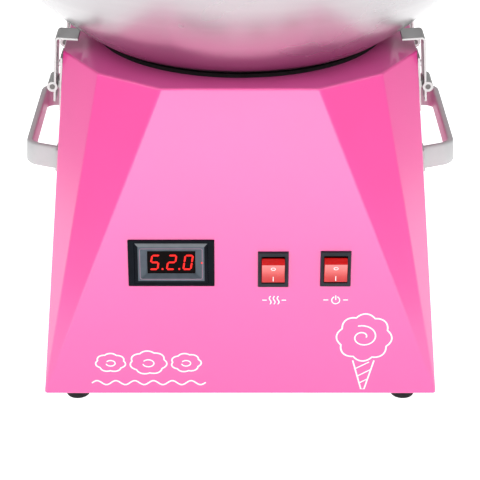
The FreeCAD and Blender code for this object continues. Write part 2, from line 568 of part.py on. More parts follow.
cap = turned("head_cap_turn", [(26, zc), (64.5, zc), (64.5, zc + 1.6), (58, zc + 5.2), (30, zc + 9.5), (26, zc + 9.5)], [0, 0.7, 0.7, 6, 0, 0])
node("head_cap", cut("head_cap", cap, [cyl("cap_hole", (44 * math.cos(q), 44 * math.sin(q), zc - 1), 2.2, 12)
                                       for q in (math.radians(30), math.radians(150), math.radians(270))]))
node("sugar_funnel", turned("sugar_funnel", [(13, HB + 9), (15, HB + 9), (26, zc - 1), (26, zc + 9.5), (29.5, zc + 9.5), (29.5, zc + 12), (24.4, zc + 12), (24.4, zc), (13, HB + 11)],
                            [0, 0, 3, 0, 0, 1, 1, 3, 0]))
caps3 = []
for q in (math.radians(30), math.radians(150), math.radians(270)):
    x, y = 44 * math.cos(q), 44 * math.sin(q)
    caps3.append(fuse("cap_screw", [cyl("cap_screw_head", (x, y, zc + 7.9), 3.6, 2.4), cyl("cap_screw_rod", (x, y, HB + 3.4), 2.0, hh + 8.0)]))
node("cap_screws", group("cap_screws", caps3))
hexa = [(8.5 * math.cos(math.radians(60 * a)), 8.5 * math.sin(math.radians(60 * a))) for a in range(6)]
node("head_nut", cut("head_nut", slab("nut_blank", hexa, 6.0, fr=Placement(V(0, 0, HB + 3.4), Rotation())), [cyl("nut_bore", (0, 0, HB), 5.0, 4.5 + 0.4 + 0.1), cyl("nut_thread", (0, 0, HB), 4.0, 20)]))

# ----------------------------------------------------- electrics on the base
zf = ZB + D["plate_t"]
sp = [cyl("spacer", (x, y, zf), 3.5, 9) for x in (-128, -72) for y in (-48, 48)]
node("board_spacers", group("board_spacers", sp))
node("control_board", box("control_board", (-134, -54, zf + 9), (68, 108, 1.6)))
zp = zf + 10.6
bp = [box("transformer", (-124, -40, zp), (34, 40, 28)), cyl("capacitor_a", (-82, -30, zp), 7, 24), cyl("capacitor_b", (-82, -12, zp), 7, 24),
      cut("heat_sink", box("hs_block", (-126, 14, zp), (48, 26, 32)), [box("hs_slot", (-122 + 8 * i, 12, zp + 5), (4, 30, 30)) for i in range(6)])]
node("board_parts", group("board_parts", bp))
tb = box("tb_block", (60, 100, zf), (62, 18, 15))
node("terminal_block", cut("terminal_block", tb, [cyl("tb_screw", (66 + 10 * i, 109, zf + 9), 2.4, 12) for i in range(6)]))

NF = BACK.multiply(Placement(V(IX, 0, IZ), Rotation()))
face = slab("inlet_face", [(-25, -11.2), (25, -11.2), (25, 11.2), (-25, 11.2)], 2.4, [6, 6, 6, 6],
            fr=NF.multiply(Placement(V(0, 0, 0), Rotation(V(1, 0, 0), 90))))
tub = box("inlet_tub", (-13.6, -0.01, -9.9), (27.2, 22, 19.8), NF)
sock = slab("inlet_socket", [(-12, -8), (12, -8), (12, 4.4), (8.4, 8), (-8.4, 8), (-12, 4.4)], 18.5,
            fr=NF.multiply(Placement(V(0, 15.9, 0), Rotation(V(1, 0, 0), 90))))
inlet = cut("mains_inlet", fuse("inlet_whole", [face, tub]), [sock] + [cyl("inlet_hole", (20 * s, -6, 0), 1.7, 12, (0, 1, 0), NF) for s in (-1, 1)])
node("mains_inlet", inlet)
ip = [box("inlet_blade", (x - 1, 1.5, z - 2), (2, 14.35, 4), NF) for x, z in ((-7, -2), (0, 2), (7, -2))]
node("inlet_pins", group("inlet_pins", ip))
isc = [fuse("inlet_screw", [cyl("is_head", (20 * s, -4.0, 0), 3.0, 1.6, (0, 1, 0), NF), cyl("is_shank", (20 * s, -2.5, 0), 1.5, 9, (0, 1, 0), NF)]) for s in (-1, 1)]
node("inlet_screws", group("inlet_screws", isc))

# ---------------------------------------------------------------- write files
doc.recompute()
bad = []
for o in doc.Objects:
    if any(s in ("Invalid", "Error") for s in o.State):
        bad.append((o.Name, o.State))
    if hasattr(o, "Shape") and o.TypeId.startswith(("Part::", "PartDesign::Body")):
        if o.Shape.isNull() or not o.Shape.isValid():
            bad.append((o.Name, "shape"))
for n, o in NODES.items():
    if not o.Shape.Solids:
        bad.append((n, "no solid"))
if bad:
    raise RuntimeError("objects in error: %s" % bad[:20])
os.makedirs("parts", exist_ok=True)
for n, o in NODES.items():
    o.Shape.exportStep("parts/%s.step" % n)
    bb = o.Shape.BoundBox
    print("%-20s solids %2d vol %10.1f  x %.1f..%.1f y %.1f..%.1f z %.1f..%.1f" % (n, len(o.Shape.Solids), o.Shape.Volume, bb.XMin, bb.XMax, bb.YMin, bb.YMax, bb.ZMin, bb.ZMax))
print(len(NODES), "nodes")
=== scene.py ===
import json
import math
import bpy
import bmesh
from mathutils import Matrix, Vector

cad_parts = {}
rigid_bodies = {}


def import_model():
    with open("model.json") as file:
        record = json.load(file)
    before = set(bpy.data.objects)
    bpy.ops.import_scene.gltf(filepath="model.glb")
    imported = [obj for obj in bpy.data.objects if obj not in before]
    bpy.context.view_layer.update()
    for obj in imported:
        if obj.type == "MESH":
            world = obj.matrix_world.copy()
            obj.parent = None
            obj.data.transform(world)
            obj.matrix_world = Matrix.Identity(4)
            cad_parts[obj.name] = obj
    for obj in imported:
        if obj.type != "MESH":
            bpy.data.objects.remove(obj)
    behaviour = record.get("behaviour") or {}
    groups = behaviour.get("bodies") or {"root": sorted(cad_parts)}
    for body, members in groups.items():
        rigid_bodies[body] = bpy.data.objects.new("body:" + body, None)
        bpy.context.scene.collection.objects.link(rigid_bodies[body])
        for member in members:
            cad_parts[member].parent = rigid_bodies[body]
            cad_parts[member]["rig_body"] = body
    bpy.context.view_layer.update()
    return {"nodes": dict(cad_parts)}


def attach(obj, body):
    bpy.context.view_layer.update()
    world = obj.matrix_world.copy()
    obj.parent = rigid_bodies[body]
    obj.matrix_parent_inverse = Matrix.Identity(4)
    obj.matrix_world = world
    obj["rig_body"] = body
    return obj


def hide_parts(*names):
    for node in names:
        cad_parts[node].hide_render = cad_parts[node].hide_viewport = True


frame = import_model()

N = frame["nodes"]
MM = 0.001
scene = bpy.context.scene
scene.view_settings.view_transform = "Standard"
scene.view_settings.look = "None"

# ------------------------------------------------------------- wall frames
BH, ZB, BODY, LEAN_IN, XT, RIDGE = 162.0, 15.0, 263.4, 18.7, 60.5, 111.0
ZT = ZB + BODY
LEAN = math.atan2(LEAN_IN, BODY)
CL, SL = math.cos(LEAN), math.sin(LEAN)


def wall(turn):
    """Matrix of a wall frame: x along the wall, y into the machine, z up the wall (mm to m)."""
    m = Matrix.Rotation(turn, 4, "Z") @ Matrix.Translation((0, -BH * MM, ZB * MM)) @ Matrix.Rotation(-LEAN, 4, "X")
    return m @ Matrix.Scale(MM, 4)


FRONT, BACK = wall(0), wall(math.pi)
LEFT, RIGHT = wall(-math.pi / 2), wall(math.pi / 2)
WORLD = Matrix.Scale(MM, 4)

# ---------------------------------------------------------------- materials


def new_mat(name):
    m = bpy.data.materials.new(name)
    m.use_nodes = True
    nt = m.node_tree
    b = nt.nodes["Principled BSDF"]
    return m, nt, b


def tex_coord(nt, scale=(1, 1, 1), rot=(0, 0, 0)):
    tc = nt.nodes.new("ShaderNodeTexCoord")
    mp = nt.nodes.new("ShaderNodeMapping")
    mp.inputs["Scale"].default_value = scale
    mp.inputs["Rotation"].default_value = rot
    nt.links.new(tc.outputs["Object"], mp.inputs["Vector"])
    return mp.outputs["Vector"]


def noise(nt, vec, scale, detail=3.0, rough=0.55, dist=0.0):
    n = nt.nodes.new("ShaderNodeTexNoise")
    n.inputs["Scale"].default_value = scale
    n.inputs["Detail"].default_value = detail
    n.inputs["Roughness"].default_value = rough
    n.inputs["Distortion"].default_value = dist
    nt.links.new(vec, n.inputs["Vector"])
    return n.outputs["Fac"]


def ramp(nt, fac, stops):
    r = nt.nodes.new("ShaderNodeValToRGB")
    el = r.color_ramp.elements
    el[0].position, el[0].color = stops[0][0], (*stops[0][1], 1)
    el[1].position, el[1].color = stops[-1][0], (*stops[-1][1], 1)
    for p, c in stops[1:-1]:
        e = el.new(p)
        e.color = (*c, 1)
    nt.links.new(fac, r.inputs["Fac"])
    return r.outputs["Color"]


def remap(nt, fac, lo, hi, a=0.0, b=1.0):
    m = nt.nodes.new("ShaderNodeMapRange")
    m.inputs["From Min"].default_value = a
    m.inputs["From Max"].default_value = b
    m.inputs["To Min"].default_value = lo
    m.inputs["To Max"].default_value = hi
    nt.links.new(fac, m.inputs["Value"])
    return m.outputs["Result"]


def bump(nt, height, strength, dist, prev=None):
    b = nt.nodes.new("ShaderNodeBump")
    b.inputs["Strength"].default_value = strength
    b.inputs["Distance"].default_value = dist
    nt.links.new(height, b.inputs["Height"])
    if prev is not None:
        nt.links.new(prev, b.inputs["Normal"])
    return b.outputs["Normal"]


def tint(c, k):
    return tuple(min(1.0, v * k) for v in c)


def solid(name, col, rough, metal=0.0, var=0.05, rvar=0.05, fine=900.0, coarse=35.0, bstr=0.15, bdist=0.00006,
          coat=0.0, coat_rough=0.05, spec=0.5, stretch=(1, 1, 1), rot=(0, 0, 0), ior=1.5, trans=0.0, sss=0.0, emit=None, estr=0.0, coat_ior=1.5):
    m, nt, b = new_mat(name)
    v = tex_coord(nt, stretch, rot)
    big = noise(nt, v, coarse, 3)
    small = noise(nt, v, fine, 2)
    nt.links.new(ramp(nt, big, [(0.3, tint(col, 1 - var)), (0.5, col), (0.72, tint(col, 1 + var))]), b.inputs["Base Color"])
    mix = nt.nodes.new("ShaderNodeMath")
    mix.operation = "MULTIPLY_ADD"
    nt.links.new(small, mix.inputs[0])
    mix.inputs[1].default_value = 0.5
    nt.links.new(remap(nt, big, 0.0, 0.5), mix.inputs[2])
    nt.links.new(remap(nt, mix.outputs[0], max(0.02, rough - rvar), rough + rvar), b.inputs["Roughness"])
    nt.links.new(bump(nt, small, bstr, bdist), b.inputs["Normal"])
    b.inputs["Metallic"].default_value = metal
    b.inputs["Coat Weight"].default_value = coat
    b.inputs["Coat Roughness"].default_value = coat_rough
    b.inputs["Coat IOR"].default_value = coat_ior
    b.inputs["Specular IOR Level"].default_value = spec
    b.inputs["IOR"].default_value = ior
    b.inputs["Transmission Weight"].default_value = trans
    if sss:
        b.inputs["Subsurface Weight"].default_value = sss
        b.inputs["Subsurface Radius"].default_value = (0.004, 0.001, 0.001)
    if emit:
        b.inputs["Emission Color"].default_value = (*emit, 1)
        b.inputs["Emission Strength"].default_value = estr
    return m


def pink_paint(name="gloss_pink_paint", coat_ior=1.62, coat_rough=0.14, wavy=False, c=(0.95, 0.070, 0.370)):
    """Gloss pink powder coat: clear top layer over a faintly uneven colour, with orange peel."""
    m, nt, b = new_mat(name)
    v = tex_coord(nt)
    cloud = noise(nt, v, 14.0, 3)
    nt.links.new(ramp(nt, cloud, [(0.25, tint(c, 0.97)), (0.5, c), (0.8, tint(c, 1.03))]), b.inputs["Base Color"])
    peel = noise(nt, v, 420.0, 2, 0.5)
    fleck = noise(nt, v, 2600.0, 1, 0.5)
    nt.links.new(remap(nt, cloud, 0.30, 0.37), b.inputs["Roughness"])
    n1 = bump(nt, peel, 0.10, 0.00005)
    n2 = bump(nt, fleck, 0.05, 0.00001, n1)
    nt.links.new(n2, b.inputs["Normal"])
    if wavy:
        # the pressed deck is slightly wavy from side to side
        w = noise(nt, tex_coord(nt, (1.0, 0.08, 1.0)), 48.0, 2, 0.5)
        nt.links.new(bump(nt, w, 0.9, 0.0012), b.inputs["Coat Normal"])
    b.inputs["Coat Weight"].default_value = 1.0
    b.inputs["Coat Roughness"].default_value = coat_rough
    b.inputs["Coat IOR"].default_value = coat_ior
    b.inputs["Specular IOR Level"].default_value = 0.45
    return m


def spun_steel():
    """Stainless sheet spun on a lathe: fine rings round the axis and a soft, stretched shine."""
    m, nt, b = new_mat("spun_stainless")
    tc = nt.nodes.new("ShaderNodeTexCoord")
    sep = nt.nodes.new("ShaderNodeSeparateXYZ")
    nt.links.new(tc.outputs["Object"], sep.inputs["Vector"])
    xx = nt.nodes.new("ShaderNodeMath"); xx.operation = "POWER"; xx.inputs[1].default_value = 2.0
    yy = nt.nodes.new("ShaderNodeMath"); yy.operation = "POWER"; yy.inputs[1].default_value = 2.0
    nt.links.new(sep.outputs["X"], xx.inputs[0])
    nt.links.new(sep.outputs["Y"], yy.inputs[0])
    add = nt.nodes.new("ShaderNodeMath"); add.operation = "ADD"
    nt.links.new(xx.outputs[0], add.inputs[0]); nt.links.new(yy.outputs[0], add.inputs[1])
    rad = nt.nodes.new("ShaderNodeMath"); rad.operation = "SQRT"
    nt.links.new(add.outputs[0], rad.inputs[0])
    comb = nt.nodes.new("ShaderNodeCombineXYZ")
    nt.links.new(rad.outputs[0], comb.inputs["X"])
    nt.links.new(sep.outputs["Z"], comb.inputs["Z"])
    rings = noise(nt, comb.outputs["Vector"], 900.0, 4, 0.7)
    wide = noise(nt, comb.outputs["Vector"], 60.0, 2, 0.5)
    smear = noise(nt, tc.outputs["Object"], 9.0, 3, 0.6)
    nt.links.new(ramp(nt, wide, [(0.25, (0.42, 0.42, 0.43)), (0.55, (0.47, 0.47, 0.475)), (0.8, (0.53, 0.53, 0.535))]), b.inputs["Base Color"])
    nt.links.new(remap(nt, smear, 0.20, 0.34), b.inputs["Roughness"])
    nt.links.new(bump(nt, rings, 0.10, 0.00005), b.inputs["Normal"])
    b.inputs["Metallic"].default_value = 1.0
    return m


M = {
    "paint": pink_paint(),
    # painted light: the deck takes a paler copy of the same pink paint, to make up for the shade the bowl casts on it
    "deck_paint_painted_light": pink_paint("gloss_pink_deck_painted_light", 1.45, 0.06, True, (1.0, 0.135, 0.47)),
    "steel": spun_steel(),
    "alu": solid("satin_cast_aluminium", (0.53, 0.53, 0.535), 0.40, 0.2, var=0.04, rvar=0.07, fine=1800, coarse=60, bstr=0.18, bdist=0.00004),
    "alu_turned": solid("turned_aluminium", (0.72, 0.72, 0.73), 0.30, 1.0, var=0.05, rvar=0.08, fine=900, coarse=40, bstr=0.12, stretch=(1, 1, 12)),
    "galv": solid("galvanised_sheet", (0.56, 0.57, 0.58), 0.42, 1.0, var=0.16, rvar=0.12, fine=500, coarse=70, bstr=0.08),
    "clip": solid("nickel_plated_clip", (0.50, 0.495, 0.49), 0.34, 0.6, var=0.05, rvar=0.09, fine=1500, coarse=80, bstr=0.08),
    "screw": solid("zinc_screw", (0.70, 0.70, 0.71), 0.24, 1.0, var=0.05, rvar=0.08, fine=1500, coarse=150, bstr=0.1),
    "pin": solid("dark_steel_pin", (0.16, 0.155, 0.15), 0.45, 0.6, var=0.08, fine=1500, coarse=150, bstr=0.1),
    "rubber": solid("black_rubber", (0.016, 0.016, 0.017), 0.62, 0.0, var=0.2, rvar=0.1, fine=1600, coarse=90, bstr=0.3, bdist=0.0001, spec=0.12),
    "bezel": solid("black_moulded_plastic", (0.004, 0.006, 0.010), 0.42, 0.0, var=0.2, rvar=0.06, fine=2600, coarse=120, bstr=0.14, bdist=0.00004, spec=0.06),
    "frame": solid("slate_moulded_plastic", (0.024, 0.028, 0.035), 0.42, 0.0, var=0.15, rvar=0.06, fine=2600, coarse=120, bstr=0.14, bdist=0.00004, spec=0.12),
    "inner": solid("grey_blue_frame", (0.095, 0.118, 0.142), 0.42, 0.0, var=0.1, rvar=0.06, fine=2600, coarse=150, bstr=0.12, bdist=0.00004, spec=0.15),
    "window": solid("smoked_red_window", (0.003, 0.0008, 0.0009), 0.12, 0.0, var=0.2, rvar=0.03, fine=900, coarse=60, bstr=0.02, spec=0.04),
    "digits": solid("lit_red_segments", (0.75, 0.01, 0.01), 0.4, 0.0, var=0.08, fine=1200, coarse=300, emit=(1.0, 0.032, 0.020), estr=0.72, spec=0.1),
    "rocker": solid("red_rocker_plastic", (0.72, 0.004, 0.004), 0.25, 0.0, var=0.07, rvar=0.05, fine=2400, coarse=120, bstr=0.05, bdist=0.00003, coat=0.3, coat_rough=0.12, spec=0.3),
    "ink": solid("white_print", (0.93, 0.90, 0.92), 0.42, 0.0, var=0.025, rvar=0.05, fine=2000, coarse=200, bstr=0.1),
    "motor": solid("black_enamel_can", (0.02, 0.02, 0.022), 0.35, 0.0, var=0.15, fine=1400, coarse=80),
    "bake": solid("brown_bakelite", (0.09, 0.035, 0.015), 0.38, 0.0, var=0.25, fine=900, coarse=90),
    "brass": solid("brass_ring", (0.72, 0.50, 0.20), 0.24, 1.0, var=0.08, rvar=0.1, fine=1200, coarse=90, stretch=(1, 1, 10)),
    "tin": solid("tinned_brass", (0.66, 0.62, 0.50), 0.33, 1.0, var=0.1, fine=1200, coarse=120),
    "carbon": solid("carbon_brush", (0.02, 0.02, 0.02), 0.7, 0.0, var=0.3, fine=2500, coarse=200, bstr=0.4),
    "lamin": solid("laminated_iron", (0.30, 0.30, 0.31), 0.45, 1.0, var=0.2, fine=300, coarse=900, stretch=(0.05, 0.05, 4)),
    "ceramic": solid("white_ceramic", (0.80, 0.78, 0.72), 0.5, 0.0, var=0.05, fine=1800, coarse=90, bstr=0.25),
    "heater": solid("oxidised_ribbon", (0.24, 0.20, 0.18), 0.48, 1.0, var=0.3, fine=900, coarse=60),
    "board": solid("green_board", (0.01, 0.11, 0.045), 0.35, 0.0, var=0.2, fine=700, coarse=160, coat=0.3),
    "part": solid("board_components", (0.05, 0.05, 0.055), 0.45, 0.0, var=0.3, fine=900, coarse=60),
    "white": solid("white_nylon", (0.78, 0.78, 0.76), 0.45, 0.0, var=0.04, fine=1400, coarse=60, sss=0.1),
}

def rocker_painted_highlight():
    """Red rocker face with a painted highlight: an emission that grows towards the upper half stands in for a
    reflection, not for a lamp.
    """
    m, nt, b = new_mat("red_rocker_painted_highlight")
    v = tex_coord(nt)
    n = noise(nt, v, 130.0, 2)
    nt.links.new(ramp(nt, n, [(0.2, (0.52, 0.012, 0.014)), (0.8, (0.58, 0.016, 0.018))]), b.inputs["Base Color"])
    nt.links.new(remap(nt, n, 0.22, 0.30), b.inputs["Roughness"])
    tc = nt.nodes.new("ShaderNodeTexCoord")
    sep = nt.nodes.new("ShaderNodeSeparateXYZ")
    nt.links.new(tc.outputs["Object"], sep.inputs["Vector"])
    # painted highlight: emission rising with height along the face
    g = nt.nodes.new("ShaderNodeMapRange")
    g.interpolation_type = "SMOOTHSTEP"
    g.inputs["From Min"].default_value = 0.1195
    g.inputs["From Max"].default_value = 0.1365
    g.inputs["To Min"].default_value = 0.0
    g.inputs["To Max"].default_value = 0.33
    nt.links.new(sep.outputs["Z"], g.inputs["Value"])
    nt.links.new(g.outputs["Result"], b.inputs["Emission Strength"])
    b.inputs["Emission Color"].default_value = (1.0, 0.80, 0.76, 1)
    b.inputs["Coat Weight"].default_value = 0.4
    b.inputs["Coat Roughness"].default_value = 0.12
    b.inputs["Specular IOR Level"].default_value = 0.3
    return m


M["rocker_face"] = rocker_painted_highlight()
# painted highlight: a lighter copy of the frame grey for the upper flank
M["inner_light"] = solid("grey_flank_painted_highlight", (0.15, 0.165, 0.18), 0.42, 0.0, var=0.08, rvar=0.06, fine=2600, coarse=150, bstr=0.12, bdist=0.00004, spec=0.3)
M["ink_rose"] = solid("rose_print", (0.34, 0.20, 0.27), 0.45, 0.0, var=0.04, rvar=0.05, fine=2000, coarse=200, bstr=0.1, spec=0.2)

CAD_MATS = {
    "housing_shell": "paint", "base_plate": "galv", "base_screws": "screw", "feet": "rubber", "foot_screws": "screw",
    "hub_collar": "alu_turned", "collar_screws": "screw", "seat_gasket": "rubber", "bowl": "steel",
    "meter_bezel": "bezel", "meter_inner_frame": "inner", "meter_window": "window", "meter_body": "bezel", "meter_digits": "digits",
    "heat_switch_body": "frame", "power_switch_body": "frame", "heat_rocker": "rocker", "power_rocker": "rocker",
    "switch_terminals": "tin", "handle_left": "alu", "handle_right": "alu", "handle_screws": "screw",
    "clip_front_left": "clip", "clip_back_left": "clip", "clip_front_right": "clip", "clip_back_right": "clip",
    "clip_bases": "clip", "clip_pins": "pin", "clip_rivets": "alu_turned",
    "motor_can": "motor", "motor_caps": "alu", "motor_bearings": "screw", "motor_plate": "galv", "plate_studs": "screw",
    "plate_grommets": "rubber", "slip_ring_core": "bake", "slip_rings": "brass", "brush_holder": "bake",
    "brush_lower": "carbon", "brush_upper": "carbon", "motor_shaft": "screw", "armature": "lamin", "cooling_fan": "white",
    "head_base": "alu_turned", "mesh_band": "steel", "heater_ribbon": "heater", "heater_posts": "ceramic",
    "head_cap": "alu_turned", "sugar_funnel": "steel", "cap_screws": "screw", "head_nut": "screw",
    "board_spacers": "white", "control_board": "board", "board_parts": "part", "terminal_block": "white",
    "mains_inlet": "bezel", "inlet_pins": "tin", "inlet_screws": "screw",
}
for n, o in N.items():
    mt = M[CAD_MATS[n]]
    o.data.materials.clear()
    o.data.materials.append(mt)

# ------------------------------------------------------------------ helpers


def make(name, bm, mat, body, mats=None):
    me = bpy.data.meshes.new(name)
    bm.normal_update()
    bm.to_mesh(me)
    bm.free()
    o = bpy.data.objects.new(name, me)
    scene.collection.objects.link(o)
    me.materials.append(M[mat])
    for x in mats or []:
        me.materials.append(M[x])
    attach(o, body)
    return o


def apply_mods(o):
    dg = bpy.context.evaluated_depsgraph_get()
    me = bpy.data.meshes.new_from_object(o.evaluated_get(dg))
    old = o.data
    o.modifiers.clear()
    o.data = me
    return o


def smooth(o, deg=32, weighted=False):
    me = o.data
    me.shade_smooth()
    me.set_sharp_from_angle(angle=math.radians(deg))
    if weighted:
        w = o.modifiers.new("wn", "WEIGHTED_NORMAL")
        w.keep_sharp = True
        w.weight = 80
    return o


def soften(node_name, width, mat=None, segs=3, angle=28, new_name=None, uniform=True):
    """A rounded-edge piece standing for a CAD node: the CAD mesh welded, its flats merged, its edges rolled."""
    src = N[node_name]
    bm = bmesh.new()
    bm.from_mesh(src.data)
    bmesh.ops.remove_doubles(bm, verts=bm.verts, dist=2e-6)
    bmesh.ops.dissolve_limit(bm, angle_limit=math.radians(0.6), verts=bm.verts, edges=bm.edges)
    o = make(new_name or node_name + "_detail", bm, mat or CAD_MATS[node_name], src["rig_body"])
    b = o.modifiers.new("bevel", "BEVEL")
    b.width = width * MM
    b.segments = segs
    b.limit_method = "ANGLE"
    b.angle_limit = math.radians(angle)
    b.harden_normals = False
    b.use_clamp_overlap = True
    apply_mods(o)
    smooth(o, 40, weighted=True)
    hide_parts(node_name)
    return o


def bm_box(bm, lo, hi, m=WORLD):
    vs = [bm.verts.new(m @ Vector((x, y, z))) for x in (lo[0], hi[0]) for y in (lo[1], hi[1]) for z in (lo[2], hi[2])]
    for f in ((0, 1, 3, 2), (4, 6, 7, 5), (0, 4, 5, 1), (2, 3, 7, 6), (0, 2, 6, 4), (1, 5, 7, 3)):
        bm.faces.new([vs[i] for i in f])


def bm_cyl(bm, r, z0, z1, n=96, m=WORLD, c=(0, 0)):
    lo = [bm.verts.new(m @ Vector((c[0] + r * math.cos(2 * math.pi * i / n), c[1] + r * math.sin(2 * math.pi * i / n), z0))) for i in range(n)]
    hi = [bm.verts.new(m @ Vector((c[0] + r * math.cos(2 * math.pi * i / n), c[1] + r * math.sin(2 * math.pi * i / n), z1))) for i in range(n)]
    bm.faces.new(lo[::-1])
    bm.faces.new(hi)
    for i in range(n):
        bm.faces.new((lo[i], lo[(i + 1) % n], hi[(i + 1) % n], hi[i]))


def cutter(bm):
    me = bpy.data.meshes.new("cutter")
    bmesh.ops.recalc_face_normals(bm, faces=bm.faces)
    bm.to_mesh(me)
    bm.free()
    o = bpy.data.objects.new("cutter", me)
    scene.collection.objects.link(o)
    return o


def lathe(bm, prof, n=160, m=WORLD, closed=True):
    rings = []
    for r, z in prof:
        rings.append([bm.verts.new(m @ Vector((r * math.cos(2 * math.pi * i / n), r * math.sin(2 * math.pi * i / n), z))) for i in range(n)])
    k = len(rings)
    for a in range(k if closed else k - 1):
        A, B = rings[a], rings[(a + 1) % k]
        for i in range(n):
            j = (i + 1) % n
            bm.faces.new((A[i], A[j], B[j], B[i]))


def round_path(pts, radii, seg=8):
    """Open path with rounded corners (2D)."""
    out = []
    n = len(pts)
    for i, p in enumerate(pts):
        r = radii[i]
        if r <= 0 or i in (0, n - 1):
            out.append(Vector(p))
            continue
        p = Vector(p)
        u = (Vector(pts[i - 1]) - p).normalized()
        w = (Vector(pts[i + 1]) - p).normalized()
        ang = u.angle(w)
        d = r / math.tan(ang / 2)
        s, e = p + u * d, p + w * d
        mid = (u + w).normalized() * (r / math.sin(ang / 2)) + p
        a0 = math.atan2(s.y - mid.y, s.x - mid.x)
        a1 = math.atan2(e.y - mid.y, e.x - mid.x)
        da = (a1 - a0 + math.pi) % (2 * math.pi) - math.pi
        for k in range(seg + 1):
            a = a0 + da * k / seg
            out.append(Vector((mid.x + r * math.cos(a), mid.y + r * math.sin(a))))
    return out


# ------------------------------------------------------------------ housing
def body_shell(off, z0, z1):
    bm = bmesh.new()
    w = BH - off
    t = BH - LEAN_IN - off
    corners = [(-w, -w), (w, -w), (w, w), (-w, w)]
    lo = [bm.verts.new(WORLD @ Vector((x, y, z0))) for x, y in corners]
    x2, r = XT - off * 0.3, RIDGE - off * 0.8
    top = [(-x2, -t), (x2, -t), (r, -r), (t, -x2), (t, x2), (r, r), (x2, t), (-x2, t), (-r, r), (-t, x2), (-t, -x2), (-r, -r)]
    hi = [bm.verts.new(WORLD @ Vector((x, y, z1))) for x, y in top]
    bm.faces.new(lo[::-1])
    bm.faces.new(hi)
    for k in range(4):
        a, b = lo[k], lo[(k + 1) % 4]
        i = 3 * k
        bm.faces.new((a, b, hi[i + 1], hi[i]))
        bm.faces.new((b, hi[(i + 2) % 12], hi[i + 1]))
        bm.faces.new((b, hi[(i + 3) % 12], hi[(i + 2) % 12]))
    bmesh.ops.recalc_face_normals(bm, faces=bm.faces)
    return bm


hs = make("pressed_housing", body_shell(0.0, ZB, ZT), "paint", "chassis")
bv = hs.modifiers.new("bevel", "BEVEL")
bv.width, bv.segments, bv.limit_method, bv.angle_limit = 1.5 * MM, 4, "ANGLE", math.radians(8)
apply_mods(hs)
cut_bm = body_shell(1.6, ZB - 3, ZT - 1.5)
inner_cut = cutter(cut_bm)
cb = bmesh.new()
MX, MZ = -55.05, 118.7
bm_box(cb, (MX - 31.6, -4, MZ - 18.1), (MX + 31.6, 6, MZ + 18.1), FRONT)
SW = {"heat": (26.4, 113.2), "power": (76.3, 113.7)}
for sx, sz in SW.values():
    bm_box(cb, (sx - 10.9, -4, sz - 14.1), (sx + 10.9, 6, sz + 14.1), FRONT)
bm_box(cb, (78 - 13.9, -4, 48 - 10.1), (78 + 13.9, 6, 48 + 10.1), BACK)
for i in range(7):
    bm_box(cb, (-90, -4, 60 + 14 * i), (20, 6, 64.5 + 14 * i), BACK)
bm_cyl(cb, 70.0, ZT - 8, ZT + 8, 128)
holes = cutter(cb)
for c in (inner_cut, holes):
    b = hs.modifiers.new("bool", "BOOLEAN")
    b.operation, b.solver, b.object = "DIFFERENCE", "EXACT", c
apply_mods(hs)
for c in (inner_cut, holes):
    bpy.data.objects.remove(c)
smooth(hs, 26, weighted=True)
# the flat top faces get the paler deck paint, which is painted light
hs.data.materials.append(M["deck_paint_painted_light"])
for f in hs.data.polygons:
    if f.normal.z > 0.98 and f.center.z > (ZT - 0.3) * MM:
        f.material_index = 1
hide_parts("housing_shell")

# ---------------------------------------------------------------------- bowl
zb = ZT + 3.0
zr = zb + 200.0


def bezier(p, n):
    out = []
    for i in range(n):
        t = i / n
        a = (1 - t) ** 3
        b = 3 * t * (1 - t) ** 2
        c = 3 * t * t * (1 - t)
        d = t ** 3
        out.append((a * p[0][0] + b * p[1][0] + c * p[2][0] + d * p[3][0], a * p[0][1] + b * p[1][1] + c * p[2][1] + d * p[3][1]))
    return out


def bowl_line(off):
    """Profile of one face of the bowl sheet, off inwards from the outside."""
    pts = [(79.0, zb), (122.0 - 9, zb)]
    pts += bezier([(113, zb), (123, zb + 0.5), (130, zb + 6), (140, zb + 13.4)], 12)
    pts += bezier([(140, zb + 13.4), (176, zb + 40.3), (204, zb + 76), (222, zb + 105)], 22)
    pts += bezier([(222, zb + 105), (238, zb + 131), (250, zb + 158), (254.4, zr - 4)], 16)
    pts.append((254.6, zr - 3.2))
    out = []
    for i, (r, z) in enumerate(pts):
        a = Vector(pts[max(0, i - 1)])
        b = Vector(pts[min(len(pts) - 1, i + 1)])
        d = (b - a).normalized()
        out.append((r - d.y * off, z + d.x * off))
    return out


bm = bmesh.new()
o_line, i_line = bowl_line(0.05), bowl_line(1.05)
i_line[0] = (79.05, zb + 1.1)
lip = [(80.1, zb + 2.2), (80.1, zb + 10.8), (79.6, zb + 11.2), (79.1, zb + 10.8)]
i_line[0] = (81.0, zb + 1.1)
lathe(bm, o_line + i_line[::-1] + lip, 192)
bead = [(257.0 + 2.95 * math.cos(a), zr - 3 + 2.95 * math.sin(a)) for a in (2 * math.pi * i / 20 for i in range(20))]
lathe(bm, bead, 192)
bmesh.ops.recalc_face_normals(bm, faces=bm.faces)
bowl = make("spun_bowl", bm, "steel", "bowl_body")
smooth(bowl, 35)
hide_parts("bowl")

# ------------------------------------------------------------------- handles
HZ, GT, GH = 173.0, 5.6, 19.6


